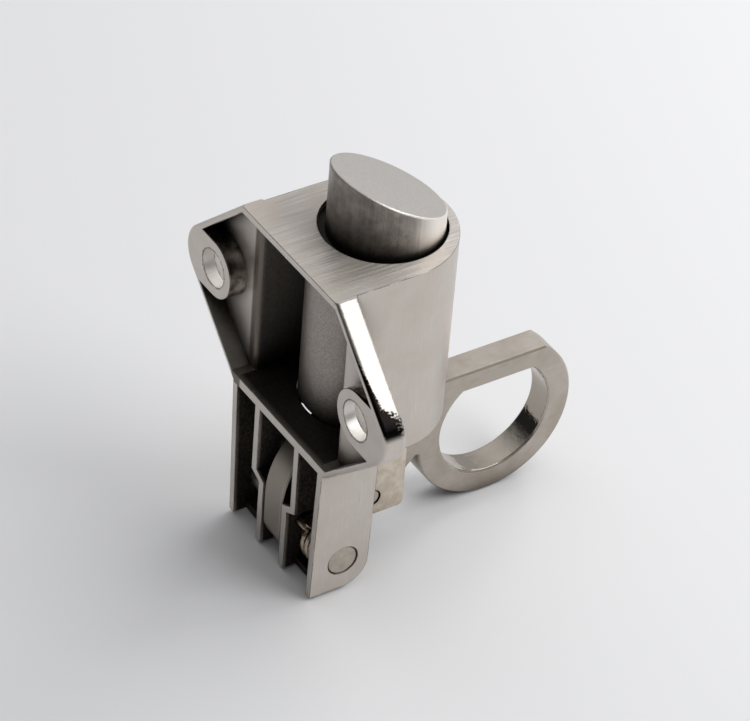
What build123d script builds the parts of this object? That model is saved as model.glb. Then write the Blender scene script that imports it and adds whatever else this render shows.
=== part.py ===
from build123d import *
import math
import os

# Spring latch with a pull ring. A bolt with a slanted nose stands in a cast housing that is
# open at the back. Below the housing a ring lever turns on a hinge pin, and a cross pin in
# the forked tail of the bolt makes the two move together against a torsion spring.
#
# Millimetres, +Z towards the nose. The origin lies on the mounting plane, midway between the
# screw holes. The open back lies in the plane Y = 0, and +Y points away from the door.

# Shell of the housing
body_width = 17.8
body_height = 22.8
body_axis_y = 10.0
wall = 0.85
top_plate = 0.8
shelf = 1.1

# Ears
screw_spacing = 28.0
screw_hole_radius = 2.15
screw_head_radius = 3.5
tip_radius = 3.6
tip_center_x = 15.95
ear_root = 0.3
ear_thickness = 2.7
ear_rim = 0.7
ear_back_edge = 0.45
ear_front_edge = 0.6
pocket_depth = 2.1
pocket_mouth = 0.6
pad_radius = 3.4

# Hinge bracket below the shelf
bracket_height = 17.2
bracket_depth = 6.95
bracket_corner = 3.0
side_draft = 0.65
lip_width = 1.3
lip_height = 10.0
rib = 0.9
upper_rib_inside = 3.45
upper_rib_depth = 2.9
lug_depth = 6.1
lug_corner = 2.5
rib_step_height = 8.6
rib_step_drop = 0.8
tie_thickness = 0.9
tie_depth = 3.0
tie_set_back = 1.6

# Bolt
bolt_side_room = 0.95
nose_step = 0.95
nose_rise = 4.7
nose_set_back = 0.1
slant_slope = 0.52
bolt_foot_chamfer = 0.5
bolt_travel = 8.0
fork_side = 1.5
fork_rise = 1.0
tail_back_y = 6.5
tail_depth = 7.85
tail_length = 13.7
tail_edge = 0.6
cross_pin_rise = 2.3

# Ring lever
lever_thickness = 3.4
lever_edge = 0.2
back_arc_radius = 9.6
ring_center_y = 26.84
ring_drop = 7.8
ring_outer_radius = 9.8
finger_radius = 6.97
finger_flat_height = 5.3
belly_y = 13.2
crotch_y = 16.8
crotch_drop = 9.2
hub_low_angle = -67.0

# Pins and spring
hinge_pin_radius = 1.8
hinge_y = 3.8
hinge_above_end = 3.9
cross_pin_radius = 1.0
wire_radius = 0.35
wire_sides = 6
coil_radius = 2.3
coil_pitch = 0.78
hook_radius = 3.05
hook_angle = 135.0
hook_reach = 3.5
leg_angle = 8.0
leg_length = 5.0

# Clearances and edges
pin_fit = 0.05
slide_fit = 0.1
lever_play = 0.2
side_gap = 0.3
shoulder_gap = 0.2
bolt_front_gap = 0.2
nose_gap_front = 0.25
nose_gap_around = 0.6
edge_break = 0.15

# Levels and places worked out from the sizes
top_z = body_height / 2
bottom_z = -body_height / 2
plate_under_z = top_z - top_plate
shelf_top_z = bottom_z + shelf
inner_height = plate_under_z - shelf_top_z
inner_middle_z = (plate_under_z + shelf_top_z) / 2
body_radius = body_width / 2
inner_radius = body_radius - wall
bracket_end_z = bottom_z - bracket_height
rib_step_z = bottom_z - rib_step_height
lip_end_z = bottom_z - lip_height
hinge_z = bracket_end_z + hinge_above_end
side_face_x = body_radius - side_draft * (bottom_z - hinge_z) / bracket_height

bolt_body_radius = inner_radius - bolt_side_room
bolt_y = body_axis_y + inner_radius - bolt_front_gap - bolt_body_radius
nose_radius = bolt_body_radius - nose_step
nose_y = bolt_y + bolt_body_radius - nose_set_back - nose_radius
plate_hole_radius = nose_radius + nose_gap_around
plate_hole_y = nose_y + nose_radius + nose_gap_front - plate_hole_radius
shoulder_z = plate_under_z - shoulder_gap
bolt_foot_z = bottom_z + shoulder_gap
slant_z = top_z + nose_rise
tail_end_z = bolt_foot_z - tail_length
fork_gap = lever_thickness + 2 * lever_play
fork_top_z = bolt_foot_z + fork_rise
tail_width = fork_gap + 2 * fork_side
tail_middle_y = tail_back_y + tail_depth / 2
cross_y = tail_middle_y
cross_z = tail_end_z + cross_pin_rise

lever_top_z = bottom_z
lug_inside = lever_thickness / 2 + lever_play
hub_radius = hinge_y - pin_fit
ring_center_z = bottom_z - ring_drop
crotch_z = bottom_z - crotch_drop
back_arc_y = hinge_y - hub_radius + back_arc_radius
back_arc_z = lever_top_z - back_arc_radius
reach_y = cross_y - hinge_y
reach_z = cross_z - hinge_z
swing = math.degrees(
    math.atan2(reach_z, reach_y) + math.atan2(bolt_travel - reach_z, reach_y)
)

coil_start_x = tail_width / 2 + wire_radius + side_gap
coil_end_x = side_face_x - wall - wire_radius - side_gap
coil_part_turn = 360 + leg_angle - hook_angle
coil_turns = int((coil_end_x - coil_start_x) / coil_pitch - coil_part_turn / 360)
coil_turn = 360 * coil_turns + coil_part_turn
print("swing of the ring lever, degrees:", round(swing, 3))
print("turns of the spring:", round(coil_turn / 360, 3))


def side_x(z):
    """Outer face of the bracket's side wall, which draws in towards its lower end."""
    return body_radius - side_draft * (bottom_z - z) / bracket_height


def around_hinge(radius, angle):
    """Point in the YZ plane at a radius and an angle, in degrees, from the hinge axis."""
    turn = math.radians(angle)
    return (hinge_y + radius * math.cos(turn), hinge_z + radius * math.sin(turn))


def cross_pin_in_lever(drawn):
    """Where the cross pin lies in the lever's own outline when the bolt is drawn down."""
    turn = math.radians(swing * drawn / bolt_travel)
    y = reach_y
    z = reach_z - drawn
    return (
        hinge_y + y * math.cos(turn) - z * math.sin(turn),
        hinge_z + y * math.sin(turn) + z * math.cos(turn),
    )


# Housing: one casting with shell, ears and hinge bracket
with BuildPart() as housing:
    # Plate of the two ears, in the mounting plane, with the outer edges rounded
    with BuildSketch(Plane.XZ) as ear_outline:
        Rectangle(body_width + 2 * ear_root, body_height)
        with Locations((-tip_center_x, 0), (tip_center_x, 0)):
            Circle(tip_radius)
        make_hull()
    extrude(amount=-ear_thickness)
    fillet(housing.edges().group_by(Axis.Y)[0].filter_by(Axis.X, reverse=True), ear_back_edge)
    fillet(housing.edges().group_by(Axis.Y)[-1].filter_by(Axis.X, reverse=True), ear_front_edge)
    # D-shaped shell, half round at the front
    with BuildSketch(Plane.XY.offset(bottom_z)):
        with Locations((0, body_axis_y / 2)):
            Rectangle(body_width, body_axis_y)
        with Locations((0, body_axis_y)):
            Circle(body_radius)
    extrude(amount=body_height)
    # Hollow of the shell, open at the back
    with BuildSketch(Plane.XY.offset(shelf_top_z)):
        with Locations((0, body_axis_y / 2 - wall)):
            Rectangle(2 * inner_radius, body_axis_y + 2 * wall)
        with Locations((0, body_axis_y)):
            Circle(inner_radius)
    extrude(amount=inner_height, mode=Mode.SUBTRACT)
    # Hollow backs of the ears, round the flat screw pads
    with BuildSketch(Plane.XZ):
        add(ear_outline.sketch_local)
        offset(amount=-ear_rim, mode=Mode.REPLACE)
        with Locations((0, inner_middle_z)):
            Rectangle(2 * (tip_center_x + tip_radius), inner_height, mode=Mode.INTERSECT)
        with Locations((-screw_spacing / 2, 0), (screw_spacing / 2, 0)):
            Circle(pad_radius, mode=Mode.SUBTRACT)
        with Locations((-screw_spacing / 2 - pad_radius, 0), (screw_spacing / 2 + pad_radius, 0)):
            Rectangle(2 * pad_radius, 2 * pad_radius, mode=Mode.SUBTRACT)
    extrude(amount=-pocket_depth, mode=Mode.SUBTRACT)
    # Rounded corners where the hollows of the ears run into the shell
    fillet(
        housing.edges()
        .filter_by(Axis.Z)
        .filter_by_position(Axis.X, -inner_radius - slide_fit, inner_radius + slide_fit)
        .filter_by_position(Axis.Y, pocket_depth - slide_fit, pocket_depth + slide_fit),
        pocket_mouth,
    )
    # Holes for the nose in the top plate and for the bolt's body in the shelf
    with Locations((0, plate_hole_y, top_z)):
        Hole(plate_hole_radius, depth=2 * top_plate)
    with Locations((0, bolt_y, shelf_top_z)):
        Hole(bolt_body_radius + slide_fit, depth=2 * shelf)
    # Screw holes, countersunk from the front
    with Locations(
        Plane((-screw_spacing / 2, ear_thickness, 0), z_dir=(0, 1, 0)),
        Plane((screw_spacing / 2, ear_thickness, 0), z_dir=(0, 1, 0)),
    ):
        CounterSinkHole(screw_hole_radius, screw_head_radius, counter_sink_angle=90)
    # Side wall of the bracket, drawing in downwards, with the lower front corner rounded
    with BuildSketch(Plane.XZ):
        with BuildLine():
            Polyline(
                (side_x(bottom_z), bottom_z),
                (side_x(bracket_end_z), bracket_end_z),
                (side_x(bracket_end_z) - wall, bracket_end_z),
                (side_x(bottom_z) - wall, bottom_z),
                close=True,
            )
        make_face()
    extrude(amount=-bracket_depth)
    fillet(
        housing.edges().filter_by(Axis.X).group_by(Axis.Z)[0].sort_by(Axis.Y)[-1],
        bracket_corner,
    )
    # Inward lip along the front of the side wall
    with BuildSketch(Plane.XZ.offset(wall - bracket_depth)):
        with BuildLine():
            Polyline(
                (side_x(bottom_z) - wall / 2, bottom_z),
                (side_x(lip_end_z) - wall / 2, lip_end_z),
                (side_x(lip_end_z) - wall - lip_width, lip_end_z),
                (side_x(bottom_z) - wall - lip_width, bottom_z),
                close=True,
            )
        make_face()
    extrude(amount=-wall)
    # Rib beside the lever, stepping inwards at the hinge
    with BuildSketch(Plane.XZ):
        with BuildLine():
            Polyline(
                (upper_rib_inside, bottom_z + shelf / 2),
                (upper_rib_inside + rib, bottom_z + shelf / 2),
                (upper_rib_inside + rib, rib_step_z),
                (lug_inside + rib, rib_step_z - rib_step_drop),
                (lug_inside + rib, bracket_end_z),
                (lug_inside, bracket_end_z),
                (lug_inside, rib_step_z - rib_step_drop + rib / 2),
                (upper_rib_inside, rib_step_z + rib / 2),
                close=True,
            )
        make_face()
    extrude(amount=-upper_rib_depth)
    # Lug that carries the hinge pin beside the lever
    with BuildSketch(Plane.YZ.offset(lug_inside)) as lug_outline:
        with Locations((lug_depth / 2, (rib_step_z - rib_step_drop + bracket_end_z) / 2)):
            Rectangle(lug_depth, rib_step_z - rib_step_drop - bracket_end_z)
        fillet(
            lug_outline.vertices().group_by(Axis.Y)[0].sort_by(Axis.X)[-1],
            lug_corner,
        )
    extrude(amount=rib)
    # Tie between lug and side wall at the lower end
    with BuildSketch(Plane.XZ.offset(-tie_set_back)):
        with BuildLine():
            Polyline(
                (lug_inside + rib / 2, bracket_end_z),
                (side_x(bracket_end_z) - wall / 2, bracket_end_z),
                (side_x(bracket_end_z) - wall / 2, bracket_end_z + tie_thickness),
                (lug_inside + rib / 2, bracket_end_z + tie_thickness),
                close=True,
            )
        make_face()
    extrude(amount=-tie_depth)
    mirror(about=Plane.YZ)
    # Curved slot in one lug, through which the spring's hook reaches the lever
    with BuildSketch(Plane.YZ.offset(lug_inside - lever_play / 2)):
        with BuildLine(mode=Mode.PRIVATE) as hook_path:
            CenterArc((hinge_y, hinge_z), hook_radius, hook_angle - swing, swing)
        SlotArc(hook_path.edge(), 2 * (wire_radius + slide_fit))
    extrude(amount=rib + lever_play, mode=Mode.SUBTRACT)
    # Bore for the hinge pin
    with Locations(Plane((body_radius, hinge_y, hinge_z), z_dir=(1, 0, 0))):
        Hole(hinge_pin_radius + pin_fit, depth=body_width)
housing.part.label = "housing"

# Bolt: one casting with the slanted nose, the thicker body and the forked tail
with BuildPart() as bolt:
    with BuildSketch(Plane.XY.offset(bolt_foot_z)):
        with Locations((0, bolt_y)):
            Circle(bolt_body_radius)
    extrude(amount=shoulder_z - bolt_foot_z)
    chamfer(bolt.edges().group_by(Axis.Z)[0], bolt_foot_chamfer)
    with BuildSketch(Plane.XY.offset(shoulder_z)):
        with Locations((0, nose_y)):
            Circle(nose_radius)
    extrude(amount=slant_z + nose_radius - shoulder_z)
    split(
        bisect_by=Plane((0, nose_y, slant_z), z_dir=(0, slant_slope, 1)),
        keep=Keep.BOTTOM,
    )
    chamfer(bolt.faces().sort_by(Axis.Z)[-1].edges(), edge_break)
    # Tail with rounded lower edges
    with BuildSketch(Plane.XY.offset(tail_end_z)):
        with Locations((0, tail_middle_y)):
            Rectangle(tail_width, tail_depth)
    extrude(amount=tail_length + shelf)
    fillet(bolt.edges().group_by(Axis.Z)[0].filter_by(Axis.X), tail_edge)
    # Fork that straddles the lever
    with BuildSketch(Plane.XY.offset(tail_end_z - side_gap)):
        with Locations((0, bolt_y)):
            Rectangle(fork_gap, 2 * body_radius)
    extrude(amount=fork_top_z - tail_end_z + side_gap, mode=Mode.SUBTRACT)
    # Bore for the cross pin
    with Locations(Plane((tail_width / 2, cross_y, cross_z), z_dir=(1, 0, 0))):
        Hole(cross_pin_radius + pin_fit, depth=tail_width)
bolt.part.label = "bolt"

# Ring lever: a flat casting with hub, cam slot and finger ring
with BuildPart() as ring_lever:
    # Arm from the hub to the ring, with the hub's round
    with BuildSketch(Plane.YZ.offset(-lever_thickness / 2)):
        with BuildLine():
            back = Line((hinge_y - hub_radius, hinge_z), (hinge_y - hub_radius, back_arc_z))
            shoulder = CenterArc((back_arc_y, back_arc_z), back_arc_radius, 180, -90)
            Polyline(
                shoulder @ 1,
                (ring_center_y, lever_top_z),
                (ring_center_y, crotch_z),
                (crotch_y, crotch_z),
                (belly_y, hinge_z),
                around_hinge(hub_radius, hub_low_angle),
                (hinge_y, hinge_z),
                back @ 0,
            )
        make_face()
        with Locations((hinge_y, hinge_z)):
            Circle(hub_radius)
    extrude(amount=lever_thickness)
    # Ring, cut flat along the top
    with BuildSketch(Plane.YZ.offset(-lever_thickness / 2)):
        with Locations((ring_center_y, ring_center_z)):
            Circle(ring_outer_radius)
        with Locations((ring_center_y, lever_top_z + ring_outer_radius / 2)):
            Rectangle(2 * ring_outer_radius, ring_outer_radius, mode=Mode.SUBTRACT)
    extrude(amount=lever_thickness)
    # Finger hole, flat along the top
    with BuildSketch(Plane.YZ.offset(-lever_thickness / 2)):
        with Locations((ring_center_y, ring_center_z)):
            Circle(finger_radius)
        with Locations((ring_center_y, ring_center_z + finger_flat_height + finger_radius / 2)):
            Rectangle(2 * finger_radius, finger_radius, mode=Mode.SUBTRACT)
    extrude(amount=lever_thickness, mode=Mode.SUBTRACT)
    chamfer(ring_lever.faces().filter_by(Axis.X).edges(), lever_edge)
    # Cam slot for the cross pin, bore for the hinge pin and hole for the spring's hook
    with BuildSketch(Plane.YZ.offset(-lever_thickness)):
        with Locations([cross_pin_in_lever(bolt_travel * step / 4) for step in range(5)]):
            Circle(cross_pin_radius + slide_fit)
        make_hull()
    extrude(amount=2 * lever_thickness, mode=Mode.SUBTRACT)
    with BuildSketch(Plane.YZ.offset(-lever_thickness)):
        with Locations((hinge_y, hinge_z)):
            Circle(hinge_pin_radius + pin_fit)
        with Locations(around_hinge(hook_radius, hook_angle)):
            Circle(wire_radius + slide_fit)
    extrude(amount=2 * lever_thickness, mode=Mode.SUBTRACT)
ring_lever.part.label = "ring_lever"

# Hinge pin, flush with the side walls
with BuildPart() as hinge_pin:
    with BuildSketch(Plane.YZ.offset(slide_fit - side_face_x)):
        with Locations((hinge_y, hinge_z)):
            Circle(hinge_pin_radius)
    extrude(amount=2 * (side_face_x - slide_fit))
    chamfer(hinge_pin.edges().filter_by(GeomType.CIRCLE), edge_break)
hinge_pin.part.label = "hinge_pin"

# Cross pin through the forked tail
with BuildPart() as cross_pin:
    with BuildSketch(Plane.YZ.offset(slide_fit - tail_width / 2)):
        with Locations((cross_y, cross_z)):
            Circle(cross_pin_radius)
    extrude(amount=tail_width - 2 * slide_fit)
    chamfer(cross_pin.edges().filter_by(GeomType.CIRCLE), edge_break)
cross_pin.part.label = "cross_pin"

# Torsion spring wound round the hinge pin, its wire drawn with six flats. The hook turns
# with the lever, and the straight leg leans on the lip of the bracket
hook_turn = math.radians(hook_angle)
coil_plane = Plane(
    (coil_start_x, hinge_y, hinge_z),
    x_dir=(0, math.cos(hook_turn), math.sin(hook_turn)),
    z_dir=(1, 0, 0),
)
coil = coil_plane * Helix(
    pitch=(coil_end_x - coil_start_x) * 360 / coil_turn,
    height=coil_end_x - coil_start_x,
    radius=coil_radius,
)
hook_start = (coil_start_x, *around_hinge(coil_radius - wire_radius, hook_angle))
hook_corner = (coil_start_x, *around_hinge(hook_radius, hook_angle))
with BuildPart() as return_spring:
    with BuildLine():
        add(coil)
        Line(coil @ 1, coil @ 1 + leg_length * (coil % 1))
    with BuildSketch(Plane(coil @ 0, z_dir=coil % 0)):
        RegularPolygon(wire_radius, wire_sides)
    sweep()
    # Hook: outwards from the coil, then along X into the lever
    with BuildSketch(Plane(hook_start, z_dir=coil_plane.x_dir)):
        RegularPolygon(wire_radius, wire_sides)
    extrude(amount=hook_radius - coil_radius + 2 * wire_radius)
    with BuildSketch(Plane(hook_corner, z_dir=(-1, 0, 0))):
        RegularPolygon(wire_radius, wire_sides)
    extrude(amount=hook_reach)
return_spring.part.label = "return_spring"

os.makedirs("parts", exist_ok=True)
export_step(housing.part, "parts/housing.step")
export_step(bolt.part, "parts/bolt.step")
export_step(ring_lever.part, "parts/ring_lever.step")
export_step(hinge_pin.part, "parts/hinge_pin.step")
export_step(cross_pin.part, "parts/cross_pin.step")
export_step(return_spring.part, "parts/return_spring.step")
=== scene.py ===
# %% [markdown]
# # Spring latch
# A small latch for a cabinet or shutter door. A slanted bolt stands in a cast housing, and a
# ring lever below it draws the bolt down against a torsion spring. The castings are zinc,
# plated with nickel and brushed satin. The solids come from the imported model, and this file
# gives them their finishes, makes the round spring wire, and sets floor, light and camera.

import math

import bpy
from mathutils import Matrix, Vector


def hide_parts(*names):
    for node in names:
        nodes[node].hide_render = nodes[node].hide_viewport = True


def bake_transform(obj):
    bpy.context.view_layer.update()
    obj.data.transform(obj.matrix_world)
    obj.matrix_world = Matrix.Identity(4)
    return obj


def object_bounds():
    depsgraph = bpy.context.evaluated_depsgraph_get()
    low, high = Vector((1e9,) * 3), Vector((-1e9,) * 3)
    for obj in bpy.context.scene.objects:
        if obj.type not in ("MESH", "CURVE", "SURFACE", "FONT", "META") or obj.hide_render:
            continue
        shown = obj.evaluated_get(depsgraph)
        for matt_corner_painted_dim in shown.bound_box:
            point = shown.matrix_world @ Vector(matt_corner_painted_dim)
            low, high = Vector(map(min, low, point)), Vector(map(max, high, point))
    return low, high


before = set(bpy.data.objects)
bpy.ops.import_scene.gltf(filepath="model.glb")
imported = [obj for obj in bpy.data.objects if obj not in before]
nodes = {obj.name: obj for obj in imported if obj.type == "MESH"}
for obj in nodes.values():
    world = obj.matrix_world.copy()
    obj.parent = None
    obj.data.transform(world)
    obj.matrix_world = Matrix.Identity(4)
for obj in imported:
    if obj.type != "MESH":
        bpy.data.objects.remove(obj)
cad_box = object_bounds()
mm = 0.001
print("nodes:", sorted(nodes))
print("size of the solids, mm:", [round(side / mm, 1) for side in cad_box[1] - cad_box[0]])

# %% [markdown]
# ## Tools for materials
# Colours are written as sRGB hex values, as a paint chart gives them, and one function turns
# them to the linear values that the shader wants. A second function adds any node, with its
# options and its inputs, so each material below reads from top to bottom. An input that is a
# node or a socket is linked, and anything else is typed into the socket.

# %% Colours and nodes


def colour(code):
    """Linear colour from an sRGB hex value such as A9A29B."""
    parts = [int(code[i : i + 2], 16) / 255 for i in (0, 2, 4)]
    return [c / 12.92 if c <= 0.04045 else ((c + 0.055) / 1.055) ** 2.4 for c in parts] + [1.0]


def add_node(tree, kind, settings=None, *inputs, **named):
    """Adds a node. Settings are its options, inputs fill its sockets in order or by name."""
    node = tree.nodes.new("ShaderNode" + kind)
    for name, value in (settings or {}).items():
        setattr(node, name, value)
    in_order = [socket for socket in node.inputs if socket.enabled]
    pairs = list(zip(in_order, inputs))
    pairs += [(node.inputs[name.replace("_", " ")], value) for name, value in named.items()]
    for socket, value in pairs:
        if isinstance(value, bpy.types.Node):
            value = next(result for result in value.outputs if result.enabled)
        if isinstance(value, bpy.types.NodeSocket):
            tree.links.new(value, socket)
        else:
            socket.default_value = value
    return node


print("mid grey 808080 is", round(colour("808080")[0], 3), "in linear light")

# %% [markdown]
# ## Starting and giving a material
# Every finish starts from an empty tree and the place of each point on its own piece, so that
# a pattern stays on the piece when the latch moves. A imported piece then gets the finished
# material in place of its plain one.

# %% Start a material, dress a piece


def start_material(name):
    """New material, its empty tree, and the place of each point on the piece."""
    material = bpy.data.materials.new(name)
    material.use_nodes = True
    tree = material.node_tree
    tree.nodes.clear()
    return material, tree, add_node(tree, "TexCoord").outputs["Object"]


def dress(name, material):
    """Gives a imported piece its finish."""
    slots = nodes[name].data.materials
    slots.clear()
    slots.append(material)
    print(name, "is dressed in", material.name, "of", len(material.node_tree.nodes), "nodes")


# %% [markdown]
# ## Lines and patches
# A grit belt leaves fine lines that run one way. Noise drawn out along one axis gives them.
# Real belt lines are a few hundredths of a millimetre apart, too fine to show in the render,
# so they are drawn some tenths apart, just coarse enough to be seen. Plating and handling also
# leave soft patches of tone, which are plain noise of one size.

# %% Belt lines and clouds


def belt_lines(tree, place, along, line_mm, low=0.3, high=0.7):
    """Share that changes across the lines and hardly along them."""
    drawn_out = 0.03
    stretch = [1.0, 1.0, 1.0]
    stretch["XYZ".index(along)] = drawn_out
    drawn = add_node(tree, "Mapping", Vector=place, Scale=stretch)
    noise = add_node(
        tree, "TexNoise", Vector=drawn, Scale=1 / (line_mm * mm), Detail=4.0, Roughness=0.65
    )
    return add_node(tree, "MapRange", None, noise, low, high)


def clouds(tree, place, size_mm, low=0.35, high=0.65):
    """Share that goes up and down in soft patches of one size."""
    noise = add_node(
        tree, "TexNoise", Vector=place, Scale=1 / (size_mm * mm), Detail=4.0, Roughness=0.6
    )
    return add_node(tree, "MapRange", None, noise, low, high)


# %% [markdown]
# ## Hollows, edges and faces
# Hollows are painted dark, a painted shade for the little light that reaches into them, and
# they are dull as well, since plating and polishing hardly reach there. Edges lose their satin
# and are painted bright, partly wear and partly a painted glint. And each face is worked on
# its own, so a finish has to know which way a face looks. Each mark is one share between 0
# and 1, which every finish can use in its own strength, and which fades softly at its border.

# %% Where the work and the light reach
smoothly = {"interpolation_type": "SMOOTHSTEP"}


# openness gives the share by which hollows and hidden places are painted dark as shade.
def openness(tree, reach_mm, shut, free, own_only=True):
    """0 deep in a hollow, 1 on a face that stands free."""
    seen = add_node(
        tree, "AmbientOcclusion", {"samples": 8, "only_local": own_only}, Distance=reach_mm * mm
    )
    return add_node(tree, "MapRange", smoothly, seen.outputs["AO"], shut, free)


def edge_mask(tree, rounded):
    """1 along edges, where the rounded normal leaves the flat one."""
    cosine_on_face, cosine_on_edge = 0.995, 0.85
    flat = add_node(tree, "NewGeometry").outputs["Normal"]
    same = add_node(tree, "VectorMath", {"operation": "DOT_PRODUCT"}, rounded, flat)
    return add_node(tree, "MapRange", None, same, cosine_on_face, cosine_on_edge)


def facing(tree, axis, low, high):
    """1 where the surface looks along the axis, 0 where it looks aside."""
    looks = add_node(tree, "TexCoord").outputs["Normal"]
    along = add_node(tree, "VectorMath", {"operation": "DOT_PRODUCT"}, looks, axis)
    return add_node(tree, "MapRange", smoothly, along, low, high)


# %% [markdown]
# ## Zones and layers
# Many marks belong to one place on a piece, such as the inside of the shell or the wall of a
# hole. A zone is fenced by borders: each names a measure and the millimetres between which it
# goes softly from outside to inside. A finish is then built up as in the workshop, from a
# ground with layers over it, each laid only where its share allows.

# %% Fence a zone, lay layers


def zone(tree, *borders):
    """1 inside all borders. A border is a share, or a measure, its outside and its inside."""
    inside = None
    for border in borders:
        if isinstance(border, tuple):
            measure, outside_mm, inside_mm = border
            border = add_node(
                tree, "MapRange", smoothly, measure, outside_mm * mm, inside_mm * mm
            )
        if inside is None:
            inside = border
        else:
            inside = add_node(tree, "Math", {"operation": "MULTIPLY"}, inside, border)
    return inside


def layered(tree, ground, *layers, kind="RGBA"):
    """Ground with layers over it, each a share and what it brings: colours, or numbers."""
    for share, layer in layers:
        ground = add_node(tree, "Mix", {"data_type": kind}, share, ground, layer)
    return ground


# %% [markdown]
# ## Housing: satin nickel on zinc
# The housing is a zinc casting, plated with nickel. Its outside is brushed with a belt, along
# the bolt on the sides and from back to front on the top plate. The direction of the lines is
# chosen by where the surface looks: upwards or to the side.

# %% Brushed faces of the housing
housing_nickel, tree, place = start_material("nickel_plated_zinc_brushed")
on_top = facing(tree, (0, 0, 1), low=0.6, high=0.9)
side_lines = belt_lines(tree, place, along="Z", line_mm=0.14)
top_lines = belt_lines(tree, place, along="Y", line_mm=0.26)
lines = layered(tree, side_lines, (on_top, top_lines), kind="FLOAT")
patches = clouds(tree, place, size_mm=3.5)
grit = clouds(tree, place, size_mm=0.35)
side_tone = layered(tree, colour("C4BDB5"), (side_lines, colour("D4CDC6")))
top_tone = layered(tree, colour("AFA9A3"), (top_lines, colour("DED9D4")))
brushed = layered(tree, side_tone, (on_top, top_tone))
plated = layered(tree, colour("C7BFB6"), (patches, brushed))
print("the brushed faces take", len(tree.nodes), "nodes")

# %% [markdown]
# ## Measures on the housing
# A place is told by how far across, deep and high it is. The shell's inside is straight up to
# its axis and round beyond it, so the distance to its axis counts only the depth that lies
# beyond.

# %% Measures on the housing
shell_axis_y, shell_inside_radius = 10.0, 8.05
spot = add_node(tree, "SeparateXYZ", Vector=place)
across_x, depth, height = (spot.outputs[axis] for axis in "XYZ")
out_x = add_node(tree, "Math", {"operation": "ABSOLUTE"}, across_x)
past_axis = add_node(tree, "Math", {"operation": "SUBTRACT"}, depth, shell_axis_y * mm)
beyond = add_node(tree, "Math", {"operation": "MAXIMUM"}, past_axis, 0.0)
shell_way = add_node(tree, "CombineXYZ", X=out_x, Y=beyond)
from_axis = add_node(tree, "VectorMath", {"operation": "LENGTH"}, shell_way)
print("shell inside:", 2 * shell_inside_radius, "mm wide")

# %% [markdown]
# ## Hollows of the housing
# The shell and the bracket's bays are painted nearly black, a painted shade for the little
# light that reaches them, over the dull skin of the mould that polish hardly reaches. They are
# fenced as two zones, with the levels and walls of the solid: the shell stands above the shelf,
# the bracket hangs below it.

# %% Zones of the housing
shelf_under_z, plate_under_z = -11.4, 10.6
bracket_depth = 6.95
upper = zone(tree, (height, shelf_under_z - 0.1, shelf_under_z))
in_shell = zone(
    tree, upper,
    (from_axis, shell_inside_radius + 0.3, shell_inside_radius + 0.05),
    (depth, 0.1, 0.9),
    (height, plate_under_z + 0.1, plate_under_z - 0.1),
)
in_bracket = zone(
    tree,
    (height, shelf_under_z - 0.1, shelf_under_z - 0.3),
    (out_x, shell_inside_radius + 0.1, shell_inside_radius),
    (depth, 0.1, 0.5),
    (depth, bracket_depth - 0.05, bracket_depth - 0.2),
)
print("shell from", shelf_under_z, "to", plate_under_z, "mm, bracket", bracket_depth, "mm deep")

# %% [markdown]
# ## Painted shade and polish
# Above the shelf the openness is read a little more gently than in the bracket. Only a small
# share of the plated tone and polish is left in the shell and in the bays; the rest is painted
# shade.

# %% Painted shade, free faces and worn edges of the housing
# Share of plating and light left in the shell and bays; the rest is painted shade.
polish_and_light_in_shell, polish_and_light_in_bracket = 0.16, 0.03
light_and_polish_reach = openness(
    tree, reach_mm=6.0,
    shut=layered(tree, 0.5, (upper, 0.33), kind="FLOAT"),
    free=layered(tree, 1.0, (upper, 0.87), kind="FLOAT"),
)
polish_and_light = layered(
    tree, 1.0, (in_shell, polish_and_light_in_shell), (in_bracket, polish_and_light_in_bracket), kind="FLOAT"
)
free = zone(tree, light_and_polish_reach, polish_and_light)
rounded = add_node(tree, "Bevel", {"samples": 6}, Radius=0.16 * mm)
edges = edge_mask(tree, rounded)
print("polish left in the shell:", polish_and_light_in_shell, "and in the bracket:", polish_and_light_in_bracket)

# %% [markdown]
# ## Screw holes of the ears
# The wall of each screw hole is painted light, a painted highlight for the lit wall and the
# bright floor seen through the hole, and each hole has a ragged dark rim. The round boss behind
# each hole is only tumbled. All three are found by their distance from the hole's axis, and the
# ragged rim adds grit to that distance.

# %% Holes, rims and bosses
hole_center_x, hole_radius = 14.0, 2.15
boss_radius, pocket_depth = 3.6, 2.1
rim_ragged_mm = 0.22
from_hole = add_node(tree, "Math", {"operation": "SUBTRACT"}, out_x, hole_center_x * mm)
hole_way = add_node(tree, "CombineXYZ", X=from_hole, Z=height)
hole_distance = add_node(tree, "VectorMath", {"operation": "LENGTH"}, hole_way)
ragged = add_node(
    tree, "Math", {"operation": "MULTIPLY_ADD"}, grit, rim_ragged_mm * mm, hole_distance
)
in_hole = zone(tree, (hole_distance, hole_radius + 0.08, hole_radius + 0.02))
hole_rim = zone(
    tree,
    (ragged, hole_radius + 0.3, hole_radius + 0.2),
    (hole_distance, hole_radius + 0.02, hole_radius + 0.08),
)
boss = zone(
    tree,
    (hole_distance, boss_radius + 0.2, boss_radius - 0.05),
    (depth, 0.05, 0.2),
    (depth, pocket_depth - 0.02, pocket_depth - 0.15),
    (hole_distance, hole_radius + 0.6, hole_radius + 0.9),
)
print("screw holes:", 2 * hole_radius, "mm wide,", 2 * hole_center_x, "mm apart")
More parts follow.
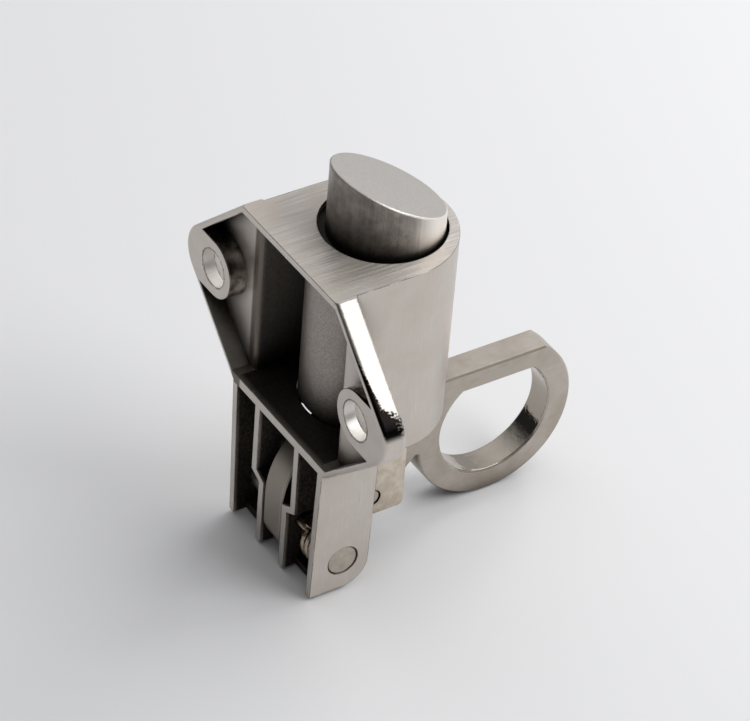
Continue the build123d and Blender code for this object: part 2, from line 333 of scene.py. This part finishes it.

# %% [markdown]
# ## Slanted edge of the near ear
# The slanted edge was polished hard and mirrors the window. Along its back corner and the start
# of its tip, where its rounding mirrors the dark side of the room, a dark grainy band is painted:
# a painted dark reflection. The band is slim along the edge and grows towards the tip. The depth
# on the ear is divided by the band's width there, and grain is added, so that the border is
# ragged everywhere.

# %% The painted dark reflection on the slanted edge
band_start_width, band_end_width, tip_width = 0.15, 0.95, 3.2
band_start_x, band_end_x, tip_start_x, tip_end_x = 13.0, 17.4, 17.0, 18.6
grain_mm, grain_strength = 0.2, 1.6
outside_band, inside_band = 1.75, 1.45
near_ear_start_x, near_ear_full_x = 10.5, 13.5
grain_place = add_node(tree, "Mapping", Vector=place, Scale=(1, 0.5, 1))
grain = add_node(
    tree, "TexNoise", Vector=grain_place, Scale=1 / (grain_mm * mm), Detail=3.0, Roughness=0.7
)
band_width = layered(
    tree, band_start_width * mm,
    (zone(tree, (out_x, band_start_x, band_end_x)), band_end_width * mm),
    (zone(tree, (out_x, tip_start_x, tip_end_x)), tip_width * mm),
    kind="FLOAT",
)
band_depth = add_node(tree, "Math", {"operation": "DIVIDE"}, depth, band_width)
band_edge = add_node(
    tree, "Math", {"operation": "MULTIPLY_ADD"}, grain, grain_strength, band_depth
)
# Painted dark reflection along the back of the slanted edge.
painted_dark_reflection = zone(
    tree,
    add_node(tree, "MapRange", smoothly, band_edge, outside_band, inside_band),
    (across_x, near_ear_start_x, near_ear_full_x),
    (hole_distance, hole_radius + 0.3, hole_radius + 0.6),
    facing(tree, (0, 0, 1), low=0.2, high=0.42),
    facing(tree, (0, 1, 0), low=-0.97, high=-0.9),
)
print("missed band:", band_start_width, "to", tip_width, "mm wide")

# %% [markdown]
# ## Tumbled bosses, burrs, painted glints and the unpolished edge
# Tumbling leaves light and dark patches on the bosses. A worn edge is bright, partly from wear
# and partly a painted glint, with dark stretches where a burr was left. The back edge of the far
# wall was never polished, so it is duller than the near one.

# %% Tones of bosses and edges
boss_patches = clouds(tree, place, size_mm=2.4, low=0.4, high=0.6)
tumbled = layered(tree, colour("6E665D"), (boss_patches, colour("D2CBC1")))
burr_patches = clouds(tree, place, size_mm=3.0, low=0.5, high=0.68)
# Bright edge tone: wear and a painted glint, broken by dark burrs.
burr_and_glint = layered(tree, colour("3B3632"), (burr_patches, colour("DAD5CF")))
edge_outer_x, edge_inner_x, edge_top_z = -9.6, -7.5, 11.0
far_wall_edge = zone(
    tree,
    (across_x, edge_outer_x, edge_outer_x + 0.4),
    (across_x, edge_inner_x, edge_inner_x - 0.3),
    (height, edge_top_z, edge_top_z - 2.5),
    upper,
    facing(tree, (0, -1, 0), low=0.3, high=0.8),
)
print("unpolished edge from", edge_outer_x, "to", edge_inner_x, "mm across")

# %% [markdown]
# ## Colours of the housing
# The ground is the dark skin of the mould, painted nearly black as shade. Over it lie the
# plated faces, the tumbled bosses, the hole walls painted light and their dark rims, the worn
# edges with their painted glints and burrs, the unpolished edge, and last the painted dark
# reflection on the slanted edge.

# %% Layers of the housing
# Dark ground: the skin of the mould, painted nearly black as shade in the hollows.
skin_and_painted_shade = layered(tree, colour("221D1A"), (grit, colour("463F39")))
shown = add_node(tree, "Math", {"operation": "MAXIMUM"}, free, in_hole)
base = layered(
    tree, skin_and_painted_shade,
    (shown, plated),
    (boss, tumbled),
    # Painted highlight: the wall of each screw hole is painted light.
    (in_hole, colour("EDEAE6")),
    (hole_rim, colour("4A443F")),
    # Bright edges: wear and a painted glint.
    (zone(tree, edges, free), burr_and_glint),
    (far_wall_edge, colour("6F675F")),
    # Painted dark reflection on the slanted edge.
    (painted_dark_reflection, colour("1B1918")),
)
print("the housing's colours take", len(tree.nodes), "nodes")

# %% [markdown]
# ## Gloss and lines of the housing
# Satin nickel is metal, so all its colour is in the reflection, and its gloss changes with the
# work: satin on the brushed faces, dull in the hollows, bright on the tumbled bosses. Belt
# lines also spread a reflection across themselves and not along. Anisotropy gives that, with
# its tangent across the lines. The lines and the grit are cut into the surface by two bumps.

# %% Shader of the housing
side_roughness, top_roughness, line_roughness = 0.27, 0.44, 0.1
hollow_roughness, boss_roughness, hole_roughness = 0.62, 0.26, 0.5
smooth = layered(tree, side_roughness, (on_top, top_roughness), kind="FLOAT")
satin = add_node(tree, "Math", {"operation": "MULTIPLY_ADD"}, lines, line_roughness, smooth)
gloss = layered(
    tree, hollow_roughness, (free, satin), (boss, boss_roughness), (in_hole, hole_roughness),
    kind="FLOAT",
)
scored = add_node(tree, "Bump", Height=lines, Strength=0.6, Distance=0.02 * mm, Normal=rounded)
skin = add_node(tree, "Bump", Height=grit, Strength=0.25, Distance=0.03 * mm, Normal=scored)
lines_way = layered(tree, (0, 0, 1), (on_top, (0, 1, 0)), kind="VECTOR")
looks = add_node(tree, "TexCoord").outputs["Normal"]
across = add_node(tree, "VectorMath", {"operation": "CROSS_PRODUCT"}, looks, lines_way)
shader = add_node(
    tree, "BsdfPrincipled",
    Base_Color=base, Metallic=1.0, Roughness=gloss, Normal=skin,
    Anisotropic=0.75, Tangent=across,
)
add_node(tree, "OutputMaterial", Surface=shader)
dress("housing", housing_nickel)

# %% [markdown]
# ## Bolt: three finishes on one casting
# The slanted face is ground and satin. The round side of the nose is as cast and plated, with
# dark upright streaks, and its side towards the window is painted bright, a painted reflection.
# The body and the fork stay rough from the mould, with fine specks, and are painted dark where
# the housing hides them, a painted shade.

# %% Marks of the bolt
bolt_nickel, tree, place = start_material("nickel_plated_zinc_bolt")
front = (0.55, 0.83, 0)
nose_start_z, nose_full_z, tail_start_z, tail_full_z = 10.5, 12.0, -12.0, -13.0
height = add_node(tree, "SeparateXYZ", Vector=place).outputs["Z"]
on_nose = zone(tree, (height, nose_start_z, nose_full_z))
on_tail = zone(tree, (height, tail_start_z, tail_full_z))
slanted = facing(tree, (0, 0, 1), low=0.6, high=0.8)
# Painted reflection: the nose is painted bright on its side towards the window.
painted_reflection = zone(tree, facing(tree, front, low=0.3, high=0.85), on_nose)
streaks = belt_lines(tree, place, along="Z", line_mm=0.45)
bands = belt_lines(tree, place, along="Z", line_mm=3.2)
smears = clouds(tree, place, size_mm=1.4, low=0.4, high=0.62)
grinding = belt_lines(tree, place, along="Y", line_mm=0.12)
specks = clouds(tree, place, size_mm=0.2, low=0.36, high=0.66)
grit = clouds(tree, place, size_mm=0.16)
# Share by which the bolt is painted dark as shade where the housing and plate hide it.
free = openness(tree, reach_mm=7.0, shut=0.35, free=0.92, own_only=False)
rounded = add_node(tree, "Bevel", {"samples": 6}, Radius=0.14 * mm)
edges = edge_mask(tree, rounded)
print("the bolt's marks take", len(tree.nodes), "nodes")

# %% [markdown]
# ## Layers of the bolt
# The ground is dark, a painted shade where the housing and the plate hide the bolt. Over it lie
# the speckled cast body, the streaked nose, the painted reflection on the nose's side towards
# the window, the yellowish tail and the ground face. The edge round the slanted face is a
# painted highlight at the front and a painted shade at the back.

# %% Colours of the bolt
cast_nose = layered(tree, colour("7F7871"), (streaks, colour("A49E96")), (smears, colour("B5AEA5")))
streaked = layered(tree, colour("6A645E"), (bands, cast_nose))
tail_tone = layered(tree, colour("C6BAA9"), (smears, colour("DAD0C2")))
ground_face = layered(tree, colour("B1ACA7"), (grinding, colour("C6C2BD")))
plated = layered(
    tree, colour("8D867F"),
    (specks, colour("AFA8A0")),
    (on_nose, streaked),
    # Painted reflection on the nose's side towards the window.
    (painted_reflection, colour("F0EAE2")),
    (on_tail, tail_tone),
    (slanted, ground_face),
)
# Dark ground, a painted shade where the bolt is hidden.
skin_and_painted_shade = layered(tree, colour("1E1A18"), (grit, colour("3A3530")))
# Painted highlight on the edge's side towards the light, painted shade on its back.
edge_lit_side = facing(tree, front, low=0.0, high=0.25)
painted_edge_glint_and_shade = layered(tree, colour("2E2A27"), (edge_lit_side, colour("F6F3F0")))
nose_edge = zone(tree, edges, free, on_nose)
base = layered(tree, skin_and_painted_shade, (free, plated), (nose_edge, painted_edge_glint_and_shade))
print("the bolt's colours take", len(tree.nodes), "nodes")

# %% [markdown]
# ## Gloss of the bolt
# The specks of the cast body are a little rougher than the plating between them, and the
# ground face lies between the two. Specks and grit are also pressed into the surface.

# %% Shader of the bolt
plate_roughness, speck_roughness, ground_roughness = 0.32, 0.45, 0.36
hollow_roughness = 0.6
satin = layered(
    tree, plate_roughness, (specks, speck_roughness), (slanted, ground_roughness), kind="FLOAT"
)
gloss = layered(tree, hollow_roughness, (free, satin), kind="FLOAT")
pitted = add_node(tree, "Bump", Height=specks, Strength=0.35, Distance=0.03 * mm, Normal=rounded)
skin = add_node(tree, "Bump", Height=grit, Strength=0.35, Distance=0.015 * mm, Normal=pitted)
shader = add_node(
    tree, "BsdfPrincipled", Base_Color=base, Metallic=1.0, Roughness=gloss, Normal=skin
)
add_node(tree, "OutputMaterial", Surface=shader)
dress("bolt", bolt_nickel)

# %% [markdown]
# ## Ring lever: satin faces and a polished finger hole
# The flat faces are brushed lightly, and the broken corners are left matt and painted a little
# darker, a painted shade that dims the window's reflection in them. The wall of the finger hole
# is tumbled and handled until it shines like a mirror, a little wavy from the mould, so its
# roughness falls there. The wall is found by its distance from the ring's centre: a Mapping node
# moves the centre to zero and drops the width. The arc at the lever's back, which fills the
# middle bay, is as cast and painted darker, a painted shade of the bay.

# %% Marks of the ring lever
ring_center_y, ring_center_z = 26.84, -19.2
finger_radius = 6.97
arc_start_y, arc_full_y = 5.0, 3.0
lever_nickel, tree, place = start_material("nickel_plated_zinc_ring")
from_ring = add_node(
    tree, "Mapping",
    Vector=place, Location=(0, -ring_center_y * mm, -ring_center_z * mm), Scale=(0, 1, 1),
)
ring_distance = add_node(tree, "VectorMath", {"operation": "LENGTH"}, from_ring)
finger_wall = zone(tree, (ring_distance, finger_radius + 0.12, finger_radius + 0.02))
# Matt corners, also painted a little darker as shade against the window's reflection.
matt_corner_painted_dim = facing(tree, (0.7071, 0, 0.7071), low=0.86, high=0.94)
depth = add_node(tree, "SeparateXYZ", Vector=place).outputs["Y"]
backwards = facing(tree, (0, -1, 0), low=0.2, high=0.6)
# Back arc in the middle bay: as cast, and painted darker as shade.
back_arc_painted_shade = zone(tree, (depth, arc_start_y, arc_full_y), backwards)
lines = belt_lines(tree, place, along="Y", line_mm=0.12)
patches = clouds(tree, place, size_mm=3.0)
waves = clouds(tree, place, size_mm=2.2, low=0.25, high=0.75)
grit = clouds(tree, place, size_mm=0.4)
free = openness(tree, reach_mm=5.0, shut=0.3, free=0.85, own_only=False)
rounded = add_node(tree, "Bevel", {"samples": 6}, Radius=0.15 * mm)
edges = edge_mask(tree, rounded)
print("finger hole:", 2 * finger_radius, "mm wide")

# %% [markdown]
# ## Layers of the ring lever
# The same order as on the housing: painted shade in the hollows and where other parts hide the
# lever, plating over it, then worn edges with a painted glint and matt corners painted a little
# darker. The waves of the finger wall are a second bump, many times deeper than the grit, and
# only there.

# %% Colours and shader of the ring lever
satin_low, satin_high, corner_roughness, mirror_roughness = 0.3, 0.4, 0.8, 0.07
brushed = layered(tree, colour("AFA79E"), (lines, colour("C1B9B0")))
plated = layered(
    tree, colour("AAA196"),
    (patches, brushed),
    (finger_wall, colour("ADA59B")),
    # Painted shade on the back arc in the bay.
    (back_arc_painted_shade, colour("958D84")),
)
# Dark ground: painted shade where the lever is hidden; bright edges: wear and a painted glint.
base = layered(
    tree, colour("3A342E"),
    (free, plated),
    (zone(tree, edges, free), colour("C9C3BB")),
    (matt_corner_painted_dim, colour("A39B91")),
)
gloss = layered(
    tree, satin_low,
    (lines, satin_high), (matt_corner_painted_dim, corner_roughness), (finger_wall, mirror_roughness),
    kind="FLOAT",
)
grained = add_node(tree, "Bump", Height=grit, Strength=0.12, Distance=0.02 * mm, Normal=rounded)
wavy = add_node(
    tree, "Bump",
    Height=zone(tree, finger_wall, waves), Strength=0.35, Distance=0.14 * mm, Normal=grained,
)
shader = add_node(
    tree, "BsdfPrincipled", Base_Color=base, Metallic=1.0, Roughness=gloss, Normal=wavy
)
add_node(tree, "OutputMaterial", Surface=shader)
dress("ring_lever", lever_nickel)

# %% [markdown]
# ## Pins: plated steel
# The pins are cut from drawn steel rod and plated. A rod has fine lines along its length, and
# its cut ends are a little dull and yellowish. Where other parts hide the pins they are painted
# dark brown, a painted shade. Both pins share one finish.

# %% Finish of the pins
shiny_roughness, dull_roughness = 0.3, 0.44
pin_steel, tree, place = start_material("plated_steel_pin")
lines = belt_lines(tree, place, along="X", line_mm=0.12)
patches = clouds(tree, place, size_mm=0.8)
free = openness(tree, reach_mm=2.0, shut=0.1, free=0.6, own_only=False)
drawn = layered(tree, colour("B6AFA4"), (lines, colour("CAC3B9")))
spotted = layered(tree, colour("A9A195"), (patches, drawn))
# Painted shade: dark brown where other parts hide the pin.
base = layered(tree, colour("6B5A4A"), (free, spotted))
gloss = layered(tree, shiny_roughness, (patches, dull_roughness), kind="FLOAT")
rounded = add_node(tree, "Bevel", {"samples": 6}, Radius=0.12 * mm)
worn = add_node(tree, "Bump", Height=patches, Strength=0.2, Distance=0.02 * mm, Normal=rounded)
shader = add_node(
    tree, "BsdfPrincipled", Base_Color=base, Metallic=1.0, Roughness=gloss, Normal=worn
)
add_node(tree, "OutputMaterial", Surface=shader)
dress("hinge_pin", pin_steel)
dress("cross_pin", pin_steel)

# %% [markdown]
# ## Torsion spring
# The spring is hard-drawn wire, 0.7 mm thick, wound nearly four times round the hinge pin.
# One end hooks into the lever, and the other leans on the lip of the housing. It is wound
# here from its own sizes, in millimetres and degrees.

# %% Sizes of the spring
hinge_y, hinge_z = 3.8, -24.7
wire_radius, coil_radius = 0.34, 2.3
coil_start_x, coil_end_x = 4.05, 6.897
coil_turn, coil_steps = 1313.0, 110
hook_radius, hook_angle, hook_reach = 3.05, 135.0, 3.48
bend_start, bend_end, bend_drop = 0.35, 0.05, 0.12
leg_length = 5.0


def round_hinge(x, radius, angle):
    """Point at a radius and angle, in degrees, round the hinge axis."""
    turn = math.radians(angle)
    return Vector((x, hinge_y + radius * math.cos(turn), hinge_z + radius * math.sin(turn))) * mm


print("turns of the coil:", round(coil_turn / 360, 2))

# %% [markdown]
# ## Winding the spring
# The path starts at the hook's end, bends into the coil, climbs along the pin and ends in a
# straight leg that goes on the way the last turn pointed.

# %% Wind the spring
wire_path = [
    round_hinge(coil_start_x - hook_reach, hook_radius, hook_angle),
    round_hinge(coil_start_x - bend_start, hook_radius, hook_angle),
    round_hinge(coil_start_x - bend_end, hook_radius - bend_drop, hook_angle),
]
for step in range(coil_steps + 1):
    part = step / coil_steps
    along_x = coil_start_x + part * (coil_end_x - coil_start_x)
    wire_path.append(round_hinge(along_x, coil_radius, hook_angle + part * coil_turn))
leg_way = (wire_path[-1] - wire_path[-2]).normalized()
wire_path.append(wire_path[-1] + leg_way * leg_length * mm)
print("points of the wire:", len(wire_path))

# %% [markdown]
# ## Round wire along the path
# A tube could be extruded turn by turn, but a curve with a round bevel gives wire of even
# thickness at once, so the coil is drawn as a curve and then made a mesh. The wire replaces
# the six-sided one of the solids.

# %% Draw the wire
spring_curve = bpy.data.curves.new("return_spring_wire", "CURVE")
spring_curve.dimensions = "3D"
spring_curve.bevel_depth = wire_radius * mm
spring_curve.bevel_resolution = 5
spring_curve.use_fill_caps = True
spline = spring_curve.splines.new("POLY")
spline.points.add(len(wire_path) - 1)
for point, where in zip(spline.points, wire_path):
    point.co = (*where, 1.0)
spring = bpy.data.objects.new("return_spring_wire", spring_curve)
bpy.context.scene.collection.objects.link(spring)
bpy.ops.object.select_all(action="DESELECT")
spring.select_set(True)
bpy.context.view_layer.objects.active = spring
bpy.ops.object.convert(target="MESH")
spring = bpy.context.view_layer.objects.active
bpy.ops.object.shade_smooth_by_angle(angle=math.radians(40))
print("faces of the spring:", len(spring.data.polygons))
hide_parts("return_spring")
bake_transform(spring)

# %% [markdown]
# ## Spring wire
# Drawn wire has lines along its length that are too fine to show. What shows is a warm,
# slightly brown tone from the heat of stress relieving, painted darker between the turns as
# shade.

# %% Finish of the wire
shiny_roughness, dull_roughness = 0.24, 0.36
wire_steel, tree, place = start_material("drawn_spring_wire")
patches = clouds(tree, place, size_mm=0.6)
free = openness(tree, reach_mm=2.0, shut=0.15, free=0.7)
heated = layered(tree, colour("94806F"), (patches, colour("C6B8A7")))
# Painted shade between the turns of the coil.
base = layered(tree, colour("3B2C24"), (free, heated))
gloss = layered(tree, shiny_roughness, (patches, dull_roughness), kind="FLOAT")
drawn = add_node(tree, "Bump", Height=patches, Strength=0.1, Distance=0.02 * mm)
shader = add_node(
    tree, "BsdfPrincipled", Base_Color=base, Metallic=1.0, Roughness=gloss, Normal=drawn
)
add_node(tree, "OutputMaterial", Surface=shader)
spring.data.materials.clear()
spring.data.materials.append(wire_steel)
print("the spring is dressed in", wire_steel.name)

# %% [markdown]
# ## Floor
# The latch stands on a plain pale surface, such as a painted board. It is matt, so that it
# takes a soft shadow and mirrors nothing.

# %% Floor
floor_z = cad_box[0].z
bpy.ops.object.select_all(action="DESELECT")
bpy.ops.mesh.primitive_plane_add(size=6.0, location=(0, 0, floor_z))
floor = bpy.context.view_layer.objects.active
floor.name = "floor"
floor_paint, tree = start_material("pale_painted_board")[:2]
board = add_node(tree, "BsdfPrincipled", Base_Color=colour("EFEFF0"), Roughness=0.6)
add_node(tree, "OutputMaterial", Surface=board)
floor.data.materials.append(floor_paint)
print("floor at", round(floor_z / mm, 3), "mm")

# %% [markdown]
# ## Room
# Most of the look of satin nickel is what it reflects. The room has a bright wall far behind
# the latch and is dark on the camera's side, which gives the castings their contrast. The
# ceiling adds a soft light from above.

# %% World
towards_wall = (-0.53, 0.73, 0.43)
wall_start, wall_full = -0.05, 0.75
ceiling_start, ceiling_full = 0.3, 1.0
world = bpy.data.worlds.new("soft_room")
world.use_nodes = True
bpy.context.scene.world = world
sky = world.node_tree
sky.nodes.clear()
way = add_node(sky, "TexCoord").outputs["Generated"]
along = add_node(sky, "VectorMath", {"operation": "DOT_PRODUCT"}, way, towards_wall)
lit = add_node(sky, "MapRange", smoothly, along, wall_start, wall_full)
upwards = add_node(sky, "SeparateXYZ", Vector=way).outputs["Z"]
overhead = add_node(sky, "MapRange", smoothly, upwards, ceiling_start, ceiling_full)
far_wall = layered(sky, colour("303032"), (lit, colour("C3C3C4")))
ceiling = layered(sky, colour("000000"), (overhead, colour("A7A8A9")))
room = add_node(sky, "Mix", {"data_type": "RGBA", "blend_type": "ADD"}, 1.0, far_wall, ceiling)
background = add_node(sky, "Background", Color=room, Strength=1.0)
add_node(sky, "OutputWorld", Surface=background)
print("the room takes", len(sky.nodes), "nodes")

# %% [markdown]
# ## Soft panels
# A large soft window panel high on the right lights the slanted edge of the near ear, the
# brightest place of the photograph. A weaker panel behind the latch lights the round of the
# shell and the ring. Both are kept out of the picture itself.

# %% Window and back panel


def panel(name, spot, aim, size, watts):
    """A large soft light that looks at a point."""
    data = bpy.data.lights.new(name, "AREA")
    data.shape = "RECTANGLE"
    data.size, data.size_y = size
    data.energy = watts
    lamp = bpy.data.objects.new(name, data)
    bpy.context.scene.collection.objects.link(lamp)
    lamp.location = spot
    lamp.visible_camera = False
    look = Vector(aim) - Vector(spot)
    lamp.rotation_euler = look.to_track_quat("-Z", "Y").to_euler()
    print(name, "stands", round(look.length, 2), "m from what it lights")


panel("window_panel", spot=(0.54, 0.43, 0.62), aim=(0, 0.01, 0), size=(0.55, 0.45), watts=3.2)
panel("back_panel", spot=(-0.048, 0.27, 0.174), aim=(0, 0.05, 0), size=(0.284, 0.126), watts=0.35)

# %% [markdown]
# ## Camera
# The photograph looks down at the open back from the right, with a long lens. The place,
# turn and lens were worked out from edges of known size, and the slight turn about the view
# axis is kept.

# %% Camera
camera_data = bpy.data.cameras.new("camera")
camera_data.sensor_width = 36.0
camera_data.lens = 191.24
camera_data.shift_y = -0.0087
camera_data.clip_start = 0.01
camera = bpy.data.objects.new("camera", camera_data)
camera.location = (0.26466, -0.17507, 0.25384)
camera.rotation_euler = [math.radians(angle) for angle in (51.1846, -3.7603, 57.8226)]
bpy.context.scene.collection.objects.link(camera)
bpy.context.scene.camera = camera
print("camera stands", round(camera.location.length, 3), "m from the origin")

# %% [markdown]
# ## View settings and the end
# The plain Standard view shows each colour about as it is written.

# %% Finish
bpy.context.scene.view_settings.view_transform = "Standard"
